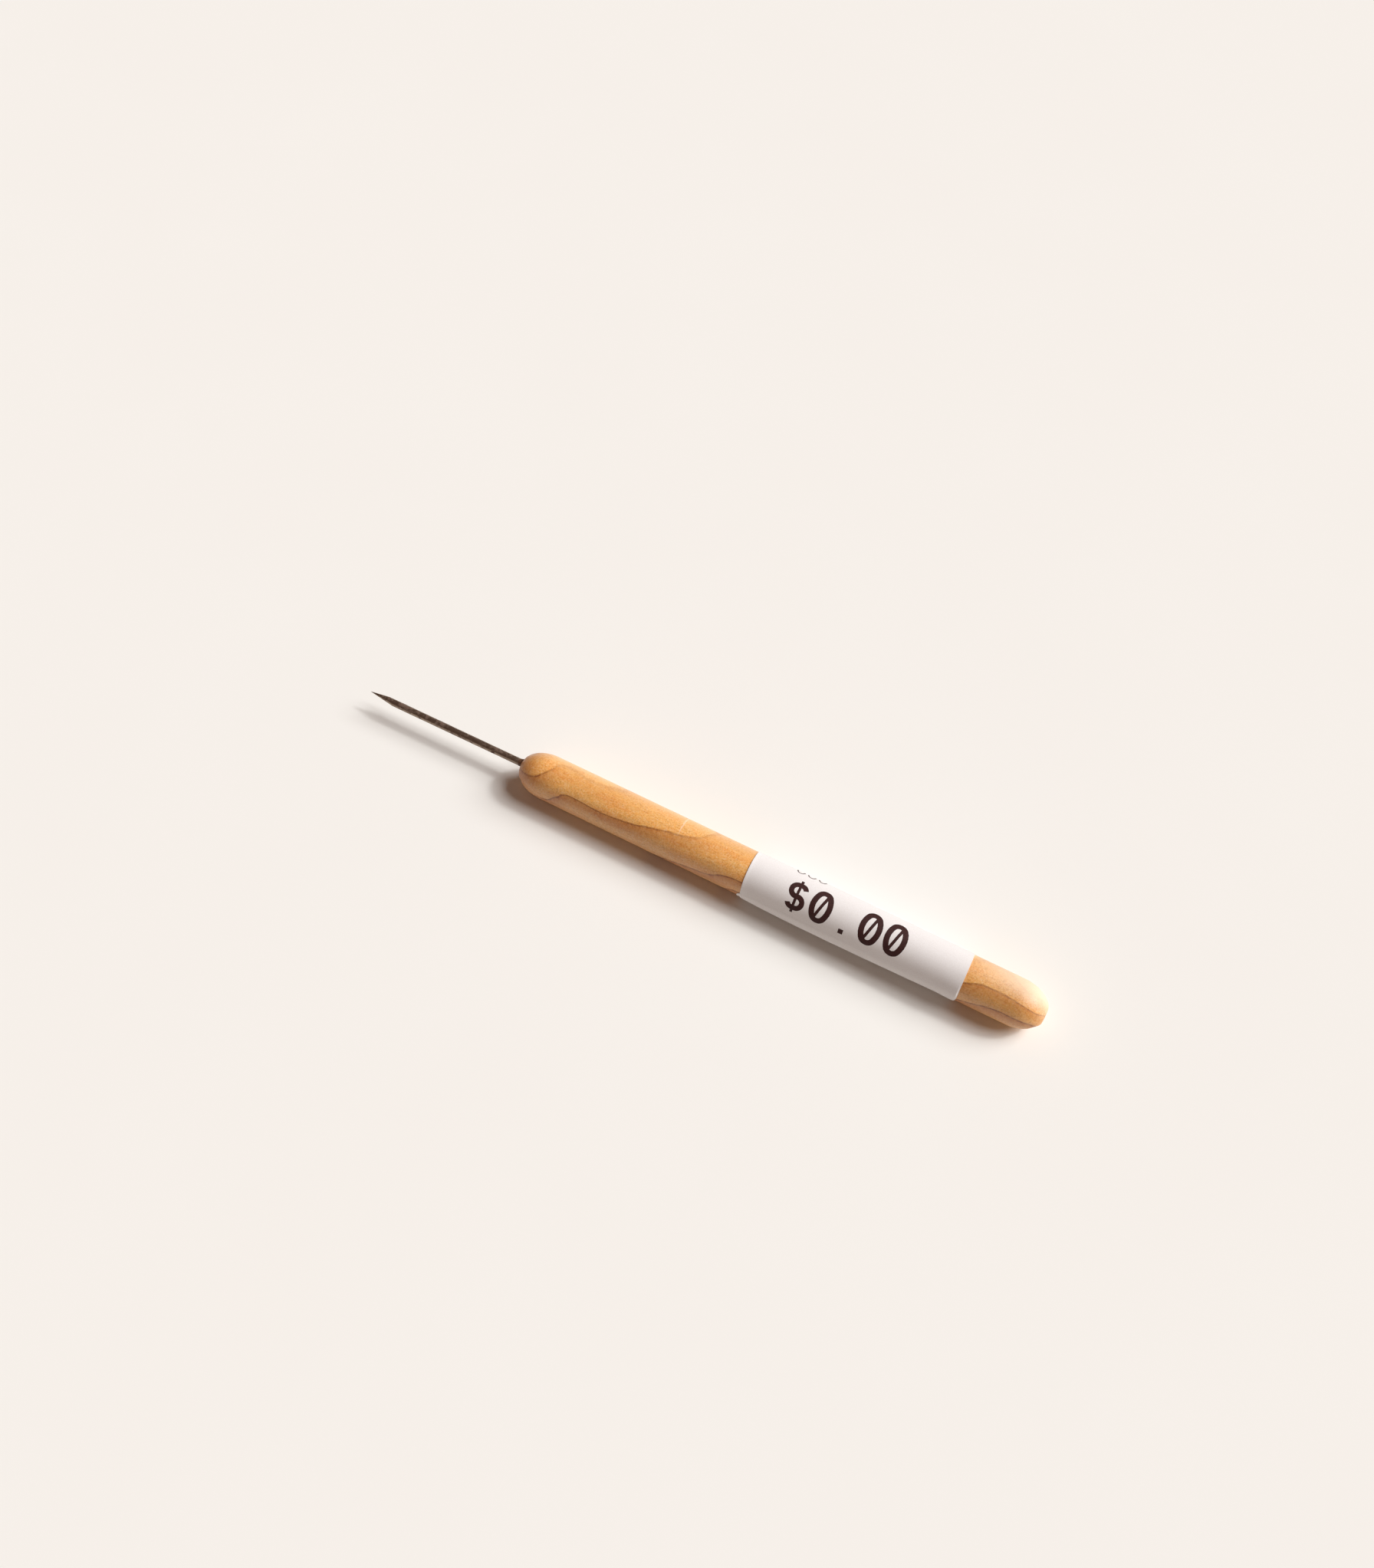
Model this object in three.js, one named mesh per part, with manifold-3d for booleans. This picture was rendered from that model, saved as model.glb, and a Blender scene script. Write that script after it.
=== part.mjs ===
// Scratch awl: a plain round spike is glued into a blind hole in the nose of a turned hardwood handle, and
// a paper price label is wrapped once round the grip.
//
// Millimetres, +Z up. The awl lies on its side along X, with its point towards -X and its butt towards +X.
// The origin is under the middle of the awl, on the surface that it lies on. Angles round the handle run
// from its top towards -Y.

import * as THREE from "three";
import { mergeVertices } from "three/addons/utils/BufferGeometryUtils.js";
import Module from "manifold-3d";

const wasm = await Module();
wasm.setup();

// Handle: a 10 mm dowel with both ends sanded round to a small flat.
const HANDLE_LENGTH = 121.4;
const HANDLE_RADIUS = 5;
const HANDLE_FACETS = 64;
const END_FLAT_RADIUS = 1.5;
const END_ROUNDING = 6.45; // how far along the handle the rounding of each end reaches
const END_FULLNESS = 0.6; // 0.5 is an ellipse, and more is leaner
const END_STEPS = 10;

// Spike: wire, ground to a point. Its hole is drilled a little off centre and out of line.
const SPIKE_EXPOSED = 40.4;
const SPIKE_RADIUS = 0.82;
const SPIKE_FACETS = 24;
const POINT_LENGTH = 5.6;
const POINT_TIP_RADIUS = 0.05;
const TANG_LENGTH = 28;
const TANG_CHAMFER = 0.25;
const SPIKE_OFF_CENTRE = 0.36; // towards +Y, at the handle's nose
const SPIKE_CANT = THREE.MathUtils.degToRad(0.45); // brings the point back near the handle's axis

// Glue: it fills the hole round the tang and stands out of the mouth as a bead on the +Y side.
const HOLE_RADIUS = 1.1;
const HOLE_SPARE_DEPTH = 0.6; // beyond the tang's end
const GLUE_GAP = 0.03; // left between the glue and the faces that it sticks to
const BEAD_LENGTH = 1.15;
const BEAD_TIP = { radius: 0.82, offset: 0.1 };
const BEAD_BASE = { radius: 1.02, offset: 0.22 };

// Label: die-cut paper, wrapped a little askew. Its outer end laps over its inner end, low on the -Y side,
// and has begun to lift.
const LABEL_LENGTH = 48.7;
const LABEL_FROM_BUTT = 17.1;
const LABEL_THICKNESS = 0.08;
const LABEL_GAP = 0.03; // between the paper and what it lies on
const LABEL_CORNER_RADIUS = 1.3;
const LABEL_OUTER_EDGE = THREE.MathUtils.degToRad(108.8);
const LABEL_WRAP = THREE.MathUtils.degToRad(385); // with this and the edge above, a facet lies flat below
const LABEL_ROUND_STEPS = 70;
const LABEL_LONG_STEPS = 10;
const LABEL_SKEW = 0.8; // how much further towards +X the paper is at its outer end than a turn before
const LABEL_LIFT = 0.4;
const LABEL_LIFT_PEAK = 0.6; // power that puts the highest lift nearer the -X end
const LABEL_LIFT_FROM = THREE.MathUtils.degToRad(50); // before the outer edge
const LABEL_STEP_FROM = THREE.MathUtils.degToRad(8); // before the inner end, where the lap starts to climb

const OVERSHOOT = 1; // how far a cutter runs past the face that it cuts

// Places that follow from the sizes above.
const LENGTH = SPIKE_EXPOSED + HANDLE_LENGTH;
const NOSE_X = -LENGTH / 2 + SPIKE_EXPOSED;
const BUTT_X = LENGTH / 2;
const LABEL_X = BUTT_X - LABEL_FROM_BUTT - LABEL_LENGTH;
const LABEL_LAYER = LABEL_GAP + LABEL_THICKNESS;
const LABEL_INNER_EDGE = LABEL_OUTER_EDGE - LABEL_WRAP;
const FACET_DIP = Math.cos(LABEL_WRAP / LABEL_ROUND_STEPS / 2); // the middle of a facet against its corners
const AXIS_Z = (HANDLE_RADIUS + LABEL_LAYER) * FACET_DIP;

const materials = {
  maple: new THREE.MeshStandardMaterial({ color: 0xd79a5b, roughness: 0.5, metalness: 0 }),
  steel: new THREE.MeshStandardMaterial({ color: 0x5c524b, roughness: 0.42, metalness: 1 }),
  glue: new THREE.MeshStandardMaterial({ color: 0x4a3b2f, roughness: 0.3, metalness: 0 }),
  paper: new THREE.MeshStandardMaterial({ color: 0xf3efee, roughness: 0.75, metalness: 0 }),
};

// A closed geometry as a manifold-3d solid, joined at its shared corners.
function solid(geometry) {
  const bare = geometry.clone();
  bare.deleteAttribute("normal");
  bare.deleteAttribute("uv");
  const merged = mergeVertices(bare, 1e-4);
  return new wasm.Manifold(
    new wasm.Mesh({
      numProp: 3,
      vertProperties: merged.attributes.position.array,
      triVerts: new Uint32Array(merged.index.array),
    }),
  );
}

// The other way round: a solid as a geometry.
function geometryOf(made) {
  const mesh = made.getMesh();
  const geometry = new THREE.BufferGeometry();
  geometry.setAttribute("position", new THREE.BufferAttribute(mesh.vertProperties, 3));
  geometry.setIndex(new THREE.BufferAttribute(mesh.triVerts, 1));
  geometry.computeVertexNormals();
  return geometry;
}

// A round piece along X, from [x, radius] points in the order of rising x. The profile starts and ends
// on the axis, and one facet faces straight down.
function turned(outline, facets) {
  const points = outline.map(([x, radius]) => new THREE.Vector2(radius, x));
  return new THREE.LatheGeometry(points, facets, Math.PI / facets).rotateZ(-Math.PI / 2);
}

// A straight-ended rod or cone along X.
function rod(fromX, toX, fromRadius, toRadius = fromRadius) {
  const outline = [
    [fromX, 0],
    [fromX, fromRadius],
    [toX, toRadius],
    [toX, 0],
  ];
  return turned(outline, SPIKE_FACETS);
}

// [distance from the end, radius] down one rounded end, from its flat to the full radius. The points are
// closer together near the flat, where the curve is steep.
function endOutline() {
  const outline = [];
  for (let i = 0; i <= END_STEPS; i++) {
    const along = (i / END_STEPS) ** 2;
    const rise = (1 - (1 - along) ** 2) ** END_FULLNESS;
    outline.push([END_ROUNDING * along, END_FLAT_RADIUS + (HANDLE_RADIUS - END_FLAT_RADIUS) * rise]);
  }
  return outline;
}

function handleBlank() {
  const end = endOutline();
  const nose = end.map(([distance, radius]) => [NOSE_X + distance, radius]);
  const butt = end.map(([distance, radius]) => [BUTT_X - distance, radius]).reverse();
  return turned([[NOSE_X, 0], ...nose, ...butt, [BUTT_X, 0]], HANDLE_FACETS);
}

// The spike's own frame: its origin is where its axis leaves the nose, and +X runs into the handle.
const spikeAxis = new THREE.Group();
spikeAxis.position.set(NOSE_X, SPIKE_OFF_CENTRE, AXIS_Z);
spikeAxis.rotation.z = SPIKE_CANT;
spikeAxis.updateMatrixWorld();

function handle() {
  const blank = handleBlank().translate(0, 0, AXIS_Z);
  const hole = rod(-OVERSHOOT, TANG_LENGTH + HOLE_SPARE_DEPTH, HOLE_RADIUS);
  hole.applyMatrix4(spikeAxis.matrixWorld);
  return geometryOf(solid(blank).subtract(solid(hole)));
}

function spike() {
  const outline = [
    [-SPIKE_EXPOSED, 0],
    [-SPIKE_EXPOSED, POINT_TIP_RADIUS],
    [-SPIKE_EXPOSED + POINT_LENGTH, SPIKE_RADIUS],
    [TANG_LENGTH - TANG_CHAMFER, SPIKE_RADIUS],
    [TANG_LENGTH, SPIKE_RADIUS - TANG_CHAMFER],
    [TANG_LENGTH, 0],
  ];
  return turned(outline, SPIKE_FACETS);
}

// A cone that swells and moves over to +Y on its way to the handle, so that it shows on one side only.
function bead() {
  const slant = (BEAD_BASE.offset - BEAD_TIP.offset) / BEAD_LENGTH;
  const lean = new THREE.Matrix4().makeShear(slant, 0, 0, 0, 0, 0);
  const cone = rod(0, BEAD_LENGTH - GLUE_GAP, BEAD_TIP.radius, BEAD_BASE.radius);
  return cone.applyMatrix4(lean).translate(-BEAD_LENGTH, BEAD_TIP.offset, 0);
}

function tangGlue() {
  const sleeve = solid(rod(-2 * GLUE_GAP, TANG_LENGTH, HOLE_RADIUS - GLUE_GAP));
  const bore = solid(rod(-BEAD_LENGTH - OVERSHOOT, TANG_LENGTH + OVERSHOOT, SPIKE_RADIUS + GLUE_GAP));
  return geometryOf(sleeve.add(solid(bead())).subtract(bore));
}

// Bends a flat point onto the handle: x along it, an angle round it, and a height above its surface.
function wrapped(x, angle, height) {
  const radius = HANDLE_RADIUS + height;
  return new THREE.Vector3(x, -radius * Math.sin(angle), radius * Math.cos(angle));
}

// How far the paper's underside is from the wood: one layer up where it laps over its own inner end, and
// more where the outer end lifts.
function labelHeight(along, angle) {
  const lapStart = LABEL_INNER_EDGE + 2 * Math.PI - LABEL_STEP_FROM;
  const lap = THREE.MathUtils.smoothstep(angle, lapStart - LABEL_STEP_FROM, lapStart);
  const lift = THREE.MathUtils.smoothstep(angle, LABEL_OUTER_EDGE - LABEL_LIFT_FROM, LABEL_OUTER_EDGE);
  return LABEL_GAP + LABEL_LAYER * lap + LABEL_LIFT * lift * Math.sin(Math.PI * along ** LABEL_LIFT_PEAK);
}

// What is cut off a square corner of the bent label to round it. The corner is at x and angle, the paper
// lies towards wayX and wayRound from it, and the cut reaches from one height to another.
function cornerWaste(x, angle, wayX, wayRound, fromHeight, toHeight) {
  const r = LABEL_CORNER_RADIUS;
  const shape = new THREE.Shape();
  shape.moveTo(-OVERSHOOT, -OVERSHOOT);
  shape.lineTo(r, -OVERSHOOT);
  shape.lineTo(r, 0);
  shape.absarc(r, r, r, -Math.PI / 2, -Math.PI, true);
  shape.lineTo(-OVERSHOOT, r);
  shape.closePath();
  const depth = toHeight - fromHeight;
  const waste = new THREE.ExtrudeGeometry(shape, { depth, bevelEnabled: false, curveSegments: 6 });
  const outward = wrapped(0, angle, 1 - HANDLE_RADIUS);
  const round = new THREE.Vector3(1, 0, 0).cross(outward).multiplyScalar(wayRound);
  const along = new THREE.Vector3(wayX, 0, 0);
  // The outline is symmetric about its diagonal, so its two sides can change places to keep it right-handed.
  const sides = wayX * wayRound < 0 ? [along, round] : [round, along];
  const place = new THREE.Matrix4().makeBasis(sides[0], sides[1], outward);
  return waste.applyMatrix4(place.setPosition(wrapped(x, angle, fromHeight)));
}

function priceLabel() {
  const sheet = new THREE.BoxGeometry(1, 1, 1, LABEL_LONG_STEPS, LABEL_ROUND_STEPS, 1).translate(0.5, 0.5, 0.5);
  const points = sheet.attributes.position;
  for (let i = 0; i < points.count; i++) {
    const along = points.getX(i);
    const angle = LABEL_OUTER_EDGE - points.getY(i) * LABEL_WRAP;
    const height = labelHeight(along, angle) + points.getZ(i) * LABEL_THICKNESS;
    const x = LABEL_X + LABEL_LENGTH * along + (LABEL_SKEW * angle) / (2 * Math.PI);
    points.setXYZ(i, ...wrapped(x, angle, height));
  }
  let paper = solid(sheet);
  const betweenLayers = LABEL_LAYER + LABEL_GAP / 2;
  for (const [angle, wayRound, fromHeight, toHeight] of [
    [LABEL_OUTER_EDGE, -1, betweenLayers, betweenLayers + OVERSHOOT],
    [LABEL_INNER_EDGE, 1, -OVERSHOOT, betweenLayers],
  ]) {
    const skewedX = LABEL_X + (LABEL_SKEW * angle) / (2 * Math.PI);
    for (const [x, wayX] of [
      [skewedX, 1],
      [skewedX + LABEL_LENGTH, -1],
    ]) {
      paper = paper.subtract(solid(cornerWaste(x, angle, wayX, wayRound, fromHeight, toHeight)));
    }
  }
  return geometryOf(paper).translate(0, 0, AXIS_Z);
}

function piece(name, geometry, material) {
  const mesh = new THREE.Mesh(geometry, material);
  mesh.name = name;
  return mesh;
}

const awl = new THREE.Group();
awl.add(piece("handle", handle(), materials.maple));
spikeAxis.add(piece("spike", spike(), materials.steel));
spikeAxis.add(piece("tang_glue", tangGlue(), materials.glue));
awl.add(spikeAxis);
awl.add(piece("price_label", priceLabel(), materials.paper));

export default awl;
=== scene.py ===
# Scratch awl: a ground steel spike in a lacquered maple handle, with a paper price label round the grip.
# Metres, in the part's own frame: X runs from the point to the butt, Z is up, and the awl lies on Z = 0.
# Angles round the handle run from its top towards -Y.

from math import atan2, cos, pi, radians, sin, sqrt

import bmesh
import bpy
from mathutils import Matrix, Vector, noise


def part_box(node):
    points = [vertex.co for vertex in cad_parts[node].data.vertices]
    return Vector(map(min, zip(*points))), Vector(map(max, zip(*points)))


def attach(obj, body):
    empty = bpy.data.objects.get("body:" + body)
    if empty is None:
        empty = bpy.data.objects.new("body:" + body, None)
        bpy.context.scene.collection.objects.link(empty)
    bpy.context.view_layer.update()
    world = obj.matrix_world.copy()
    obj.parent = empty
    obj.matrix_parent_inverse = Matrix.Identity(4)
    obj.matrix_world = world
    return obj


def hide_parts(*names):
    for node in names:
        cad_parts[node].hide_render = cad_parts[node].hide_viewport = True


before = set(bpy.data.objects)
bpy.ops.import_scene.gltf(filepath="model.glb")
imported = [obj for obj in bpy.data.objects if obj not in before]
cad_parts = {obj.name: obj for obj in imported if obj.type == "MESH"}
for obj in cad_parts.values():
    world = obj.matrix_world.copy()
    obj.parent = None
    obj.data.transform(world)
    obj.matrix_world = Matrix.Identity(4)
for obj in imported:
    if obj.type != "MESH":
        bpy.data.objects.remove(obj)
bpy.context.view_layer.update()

mm = 0.001
handleLow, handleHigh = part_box("handle")
spikeLow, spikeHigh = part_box("spike")
labelLow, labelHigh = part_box("price_label")
noseX, buttX = handleLow.x, handleHigh.x
axisZ = (spikeLow.z + spikeHigh.z) / 2


def linearColor(hexText):  # sRGB "#RRGGBB" to linear RGBA
    parts = [int(hexText[i:i + 2], 16) / 255 for i in (1, 3, 5)]
    return [p / 12.92 if p <= 0.04045 else ((p + 0.055) / 1.055) ** 2.4 for p in parts] + [1.0]


def addNode(tree, kind, inputs, **settings):  # an input is a value, or a socket to link from
    node = tree.nodes.new(kind)
    for name, value in settings.items():
        setattr(node, name, value)
    for key, value in inputs.items():
        if isinstance(value, bpy.types.NodeSocket):
            tree.links.new(value, node.inputs[key])
        else:
            node.inputs[key].default_value = value
    return node


def newMaterial(name):
    material = bpy.data.materials.new(name)
    material.use_nodes = True
    tree = material.node_tree
    tree.nodes.clear()
    shader = addNode(tree, "ShaderNodeBsdfPrincipled", {})
    addNode(tree, "ShaderNodeOutputMaterial", {"Surface": shader.outputs[0]})
    return material, tree, shader


def millimetres(tree, centre):  # Object coordinates in mm from a point
    place = addNode(tree, "ShaderNodeTexCoord", {})
    scale = 1 / mm
    return addNode(tree, "ShaderNodeMapping", {
        "Vector": place.outputs["Object"],
        "Location": [-c * scale for c in centre],
        "Scale": (scale, scale, scale),
    }).outputs[0]


def easeInOut(value, low, high):
    t = min(max((value - low) / (high - low), 0), 1)
    return t * t * (3 - 2 * t)


def outward(angle):  # the direction away from the handle's axis, at an angle round it
    return Vector((0, -sin(angle), cos(angle)))


def offAxis(point):  # distance from the X axis
    return sqrt(point.y ** 2 + point.z ** 2)


def finishPiece(bm, name, material, sharpAngle):  # edges sharper than sharpAngle, in degrees, stay crisp
    mesh = bpy.data.meshes.new(name)
    bm.to_mesh(mesh)
    bm.free()
    mesh.materials.append(material)
    for polygon in mesh.polygons:
        polygon.use_smooth = True
    mesh.set_sharp_from_angle(angle=radians(sharpAngle))
    piece = bpy.data.objects.new(name, mesh)
    bpy.context.scene.collection.objects.link(piece)
    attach(piece, "root")
    print("made", name, len(mesh.polygons), "faces")
    return piece


def spinProfile(bm, points, sides):  # (x, radius) points, turned about X
    verts = [bm.verts.new((x, 0, radius)) for x, radius in points]
    edges = [bm.edges.new(pair) for pair in zip(verts, verts[1:])]
    bmesh.ops.spin(bm, geom=verts + edges, cent=(0, 0, 0), axis=(1, 0, 0), angle=2 * pi,
                   steps=sides, use_merge=True)
    bmesh.ops.remove_doubles(bm, verts=bm.verts, dist=0.002 * mm)


def openRing(bm, x):  # the open edges of a turned shell at x
    near = 0.01 * mm
    return [e for e in bm.edges if e.is_boundary and all(abs(v.co.x - x) < near for v in e.verts)]


def pullRing(bm, edges, matrix):  # a new ring of faces from open edges, carried by matrix
    made = bmesh.ops.extrude_edge_only(bm, edges=edges)["geom"]
    verts = [g for g in made if isinstance(g, bmesh.types.BMVert)]
    bmesh.ops.transform(bm, matrix=matrix, verts=verts)
    return [g for g in made if isinstance(g, bmesh.types.BMEdge) and g.is_boundary]


# A studio camera, and one soft light from the far right with a warm room round it.
cameraLook = {
    "aim": (-8.1 * mm, 15.4 * mm, 0),
    "distance": 305.9 * mm,
    "azimuth": radians(28.29),    # 0 looks along +Y
    "elevation": radians(60.54),
    "lens": 31.7,
}
lightLook = {
    "azimuth": radians(34),       # from +X towards +Y
    "elevation": radians(44),
    "core": 0.85,                 # the bulb, which gives the shadow its edge
    "coreAngle": radians(7),
    "spread": 3.0,                # the diffuser round it
    "spreadAngle": radians(40),
    "fill": 0.178,                # the room
    "fillColor": "#F2C8B2",
    "backdrop": "#F3EFEA",
}


def makeCamera():
    az, el = cameraLook["azimuth"], cameraLook["elevation"]
    back = Vector((sin(az) * cos(el), -cos(az) * cos(el), sin(el)))
    data = bpy.data.cameras.new("camera")
    data.lens = cameraLook["lens"]
    data.clip_start = 1 * mm
    camera = bpy.data.objects.new("camera", data)
    camera.rotation_euler = back.to_track_quat("Z", "Y").to_euler()
    camera.location = Vector(cameraLook["aim"]) + back * cameraLook["distance"]
    bpy.context.scene.collection.objects.link(camera)
    bpy.context.scene.camera = camera
    print("made camera")


def makeLights():
    az, el = lightLook["azimuth"], lightLook["elevation"]
    towards = Vector((cos(az) * cos(el), sin(az) * cos(el), sin(el)))
    for name in ("core", "spread"):
        data = bpy.data.lights.new(name, "SUN")
        data.energy = lightLook[name]
        data.angle = lightLook[name + "Angle"]
        light = bpy.data.objects.new(name, data)
        light.rotation_euler = towards.to_track_quat("Z", "Y").to_euler()
        bpy.context.scene.collection.objects.link(light)

    world = bpy.data.worlds.new("studio")
    world.use_nodes = True
    bpy.context.scene.world = world
    tree = world.node_tree
    tree.nodes.clear()
    fill = addNode(tree, "ShaderNodeBackground",
                   {"Color": linearColor(lightLook["fillColor"]), "Strength": lightLook["fill"]})
    backdrop = addNode(tree, "ShaderNodeBackground", {"Color": linearColor(lightLook["backdrop"])})
    path = addNode(tree, "ShaderNodeLightPath", {})
    mix = addNode(tree, "ShaderNodeMixShader",
                  {0: path.outputs["Is Camera Ray"], 1: fill.outputs[0], 2: backdrop.outputs[0]})
    addNode(tree, "ShaderNodeOutputWorld", {"Surface": mix.outputs[0]})
    bpy.context.scene.view_settings.view_transform = "Standard"
    print("made lights")


# Maple: close, pale wood, stained honey and lacquered. The eye gets thin brown ring lines that sweep
# across the dowel, short flecks along it, and a soft satin shine.
mapleLook = {
    "honey": "#FFC46A", "amber": "#F89F42", "pale": "#F9D0A0", "lateWood": "#BE7034", "ring": "#6E2600",
    "pore": "#A9602A", "paintedShade": "#AE8463", "bare": "#FDE6CC",
    "roughness": (0.39, 0.53),    # from one patch of stain to the next
    "wornRoughness": 0.35,        # added where the lacquer is worn away
    "lacquer": 0.5,               # how much of the surface still has its coat
    "wornLacquer": 0.05,
    "lacquerRoughness": 0.42,
    "grainDepth": 0.05 * mm,

    # Patterns, in marks per mm. Maple's pores are about 0.08 mm across and its flecks 0.15 mm. Both are
    # drawn twice as coarse so that they show, and both are several times longer along the dowel.
    "pores": 6.5,
    "flecks": 3.0,
    "tones": 0.5,                 # bands of lighter and darker growth, 2 mm apart
    "stretch": 0.22,
    "mottles": 1.3,               # stain that took unevenly, in patches of 0.8 mm
    "curls": 3.0,                 # fibres that dip in and out, 0.3 mm apart

    # Rings, in mm. Each has an age, and is drawn where the wood is that old.
    "ringFacing": radians(130),   # the way that they face, from the top towards -Y
    "ringBend": -0.03,            # their curve across the dowel, per mm
    "ringLean": -0.9,             # how far a wave in one ring moves along the dowel in the next
    "ringWander": 0.35,
    "wanders": 0.5,               # per mm
    "rings": (-17.4, -12.4, -7.7, -3.4, 2.4, 5.2, 8.9),
    # Across one ring: mm from its line, how much of the line shows, and how much of the late wood.
    "ringShape": ((-0.18, 0, 0), (0, 1, 0.75), (0.22, 0.1, 0.75), (2.5, 0, 0)),
    # The tree's swells, which bend every ring: mm along the dowel, mm of growth.
    "drift": ((-45, 8), (-38, 7.5), (-30, 4.5), (-26, 3), (-19, 3.3), (-2, 1), (5, 0), (13, -2),
              (32, -1.5), (50, -2.5), (64, -6), (73, -7.5), (81, -6), (92, -2.5)),
    "driftEnds": (7.2, 0),

    # The knife scratch, in mm.
    "scratchAt": -1.3,            # along the dowel
    "scratchSlant": (1, 0.05, 0.02),
    "scratchWaver": 0.7,
    "scratchEdge": 0.22,          # from its middle to where it stops showing
    "scratchCore": 0.04,          # and to where it shows fully
    "scratchFades": (-1.6, 0.8),  # in Y
    "scratchDepth": 0.6,          # how much of the stain it took off
}


def lacqueredMaple():
    look = mapleLook
    material, tree, shader = newMaterial("lacqueredMaple")
    place = millimetres(tree, (0, 0, axisZ))

    # How old the tree was where this point grew, in mm of growth.
    facing = look["ringFacing"]
    depth = addNode(tree, "ShaderNodeVectorMath", {0: place, 1: outward(facing)},
                    operation="DOT_PRODUCT").outputs["Value"]
    across = addNode(tree, "ShaderNodeVectorMath", {0: place, 1: outward(facing + pi / 2)},
                     operation="DOT_PRODUCT").outputs["Value"]
    bend = addNode(tree, "ShaderNodeMath", {0: across, 1: 2.0}, operation="POWER").outputs[0]
    grown = addNode(tree, "ShaderNodeMath", {0: bend, 1: look["ringBend"], 2: depth},
                    operation="MULTIPLY_ADD").outputs[0]
    along = addNode(tree, "ShaderNodeSeparateXYZ", {0: place}).outputs["X"]
    leaned = addNode(tree, "ShaderNodeMath", {0: grown, 1: look["ringLean"], 2: along},
                     operation="MULTIPLY_ADD").outputs[0]
    curveFrom, curveTo = -60, 100   # mm along the dowel, which the curve node needs as 0 to 1
    driftFrom, driftTo = -12, 12    # and mm of growth
    onCurve = addNode(tree, "ShaderNodeMapRange",
                      {"Value": leaned, "From Min": curveFrom, "From Max": curveTo}).outputs[0]
    curve = addNode(tree, "ShaderNodeFloatCurve", {"Value": onCurve})
    points = curve.mapping.curves[0].points
    for x, drift in look["drift"]:
        points.new((x - curveFrom) / (curveTo - curveFrom), (drift - driftFrom) / (driftTo - driftFrom))
    for end, drift in zip((0, -1), look["driftEnds"]):
        points[end].location.y = (drift - driftFrom) / (driftTo - driftFrom)
    curve.mapping.update()
    drift = addNode(tree, "ShaderNodeMapRange",
                    {"Value": curve.outputs[0], "To Min": driftFrom, "To Max": driftTo}).outputs[0]
    wander = addNode(tree, "ShaderNodeTexNoise",
                     {"Vector": place, "Scale": look["wanders"], "Detail": 3.0}).outputs[0]
    wandered = addNode(tree, "ShaderNodeMath", {0: wander, 1: look["ringWander"], 2: grown},
                       operation="MULTIPLY_ADD").outputs[0]
    age = addNode(tree, "ShaderNodeMath", {0: wandered, 1: drift}, operation="SUBTRACT").outputs[0]

    # Each ring is a thin dark line, kept in red, and a browner band of late wood after it, kept in green.
    ageFrom, ageTo = -20, 16
    onRamp = addNode(tree, "ShaderNodeMapRange",
                     {"Value": age, "From Min": ageFrom, "From Max": ageTo}).outputs[0]
    ringRamp = addNode(tree, "ShaderNodeValToRGB", {"Fac": onRamp})
    stops = ringRamp.color_ramp.elements
    stops[0].color = stops[1].color = (0, 0, 0, 1)
    middle = look["ringWander"] / 2   # the wander's mean
    for ring in look["rings"]:
        for offset, line, late in look["ringShape"]:
            stop = stops.new((ring + middle + offset - ageFrom) / (ageTo - ageFrom))
            stop.color = (line, late, 0, 1)
    rings = addNode(tree, "ShaderNodeSeparateColor", {0: ringRamp.outputs[0]})

    # Flecks and pores are long along the dowel, so they are dots on its ends.
    lengthwise = addNode(tree, "ShaderNodeMapping",
                         {"Vector": place, "Scale": (look["stretch"], 1, 1)}).outputs[0]
    tone = addNode(tree, "ShaderNodeTexNoise",
                   {"Vector": lengthwise, "Scale": look["tones"], "Detail": 3.0}).outputs[0]
    fleck = addNode(tree, "ShaderNodeTexNoise", {"Vector": lengthwise, "Scale": look["flecks"],
                    "Detail": 4.0, "Roughness": 0.65}).outputs[0]
    pore = addNode(tree, "ShaderNodeTexNoise",
                   {"Vector": lengthwise, "Scale": look["pores"], "Detail": 2.0}).outputs[0]
    mottle = addNode(tree, "ShaderNodeTexNoise", {"Vector": place, "Scale": look["mottles"],
                     "Detail": 5.0, "Roughness": 0.75}).outputs[0]
    curl = addNode(tree, "ShaderNodeTexNoise", {"Vector": place, "Scale": look["curls"], "Detail": 4.0,
                   "Roughness": 0.7, "Distortion": 0.5}).outputs[0]
    sideways = addNode(tree, "ShaderNodeSeparateXYZ", {0: place}).outputs["Y"]

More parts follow.
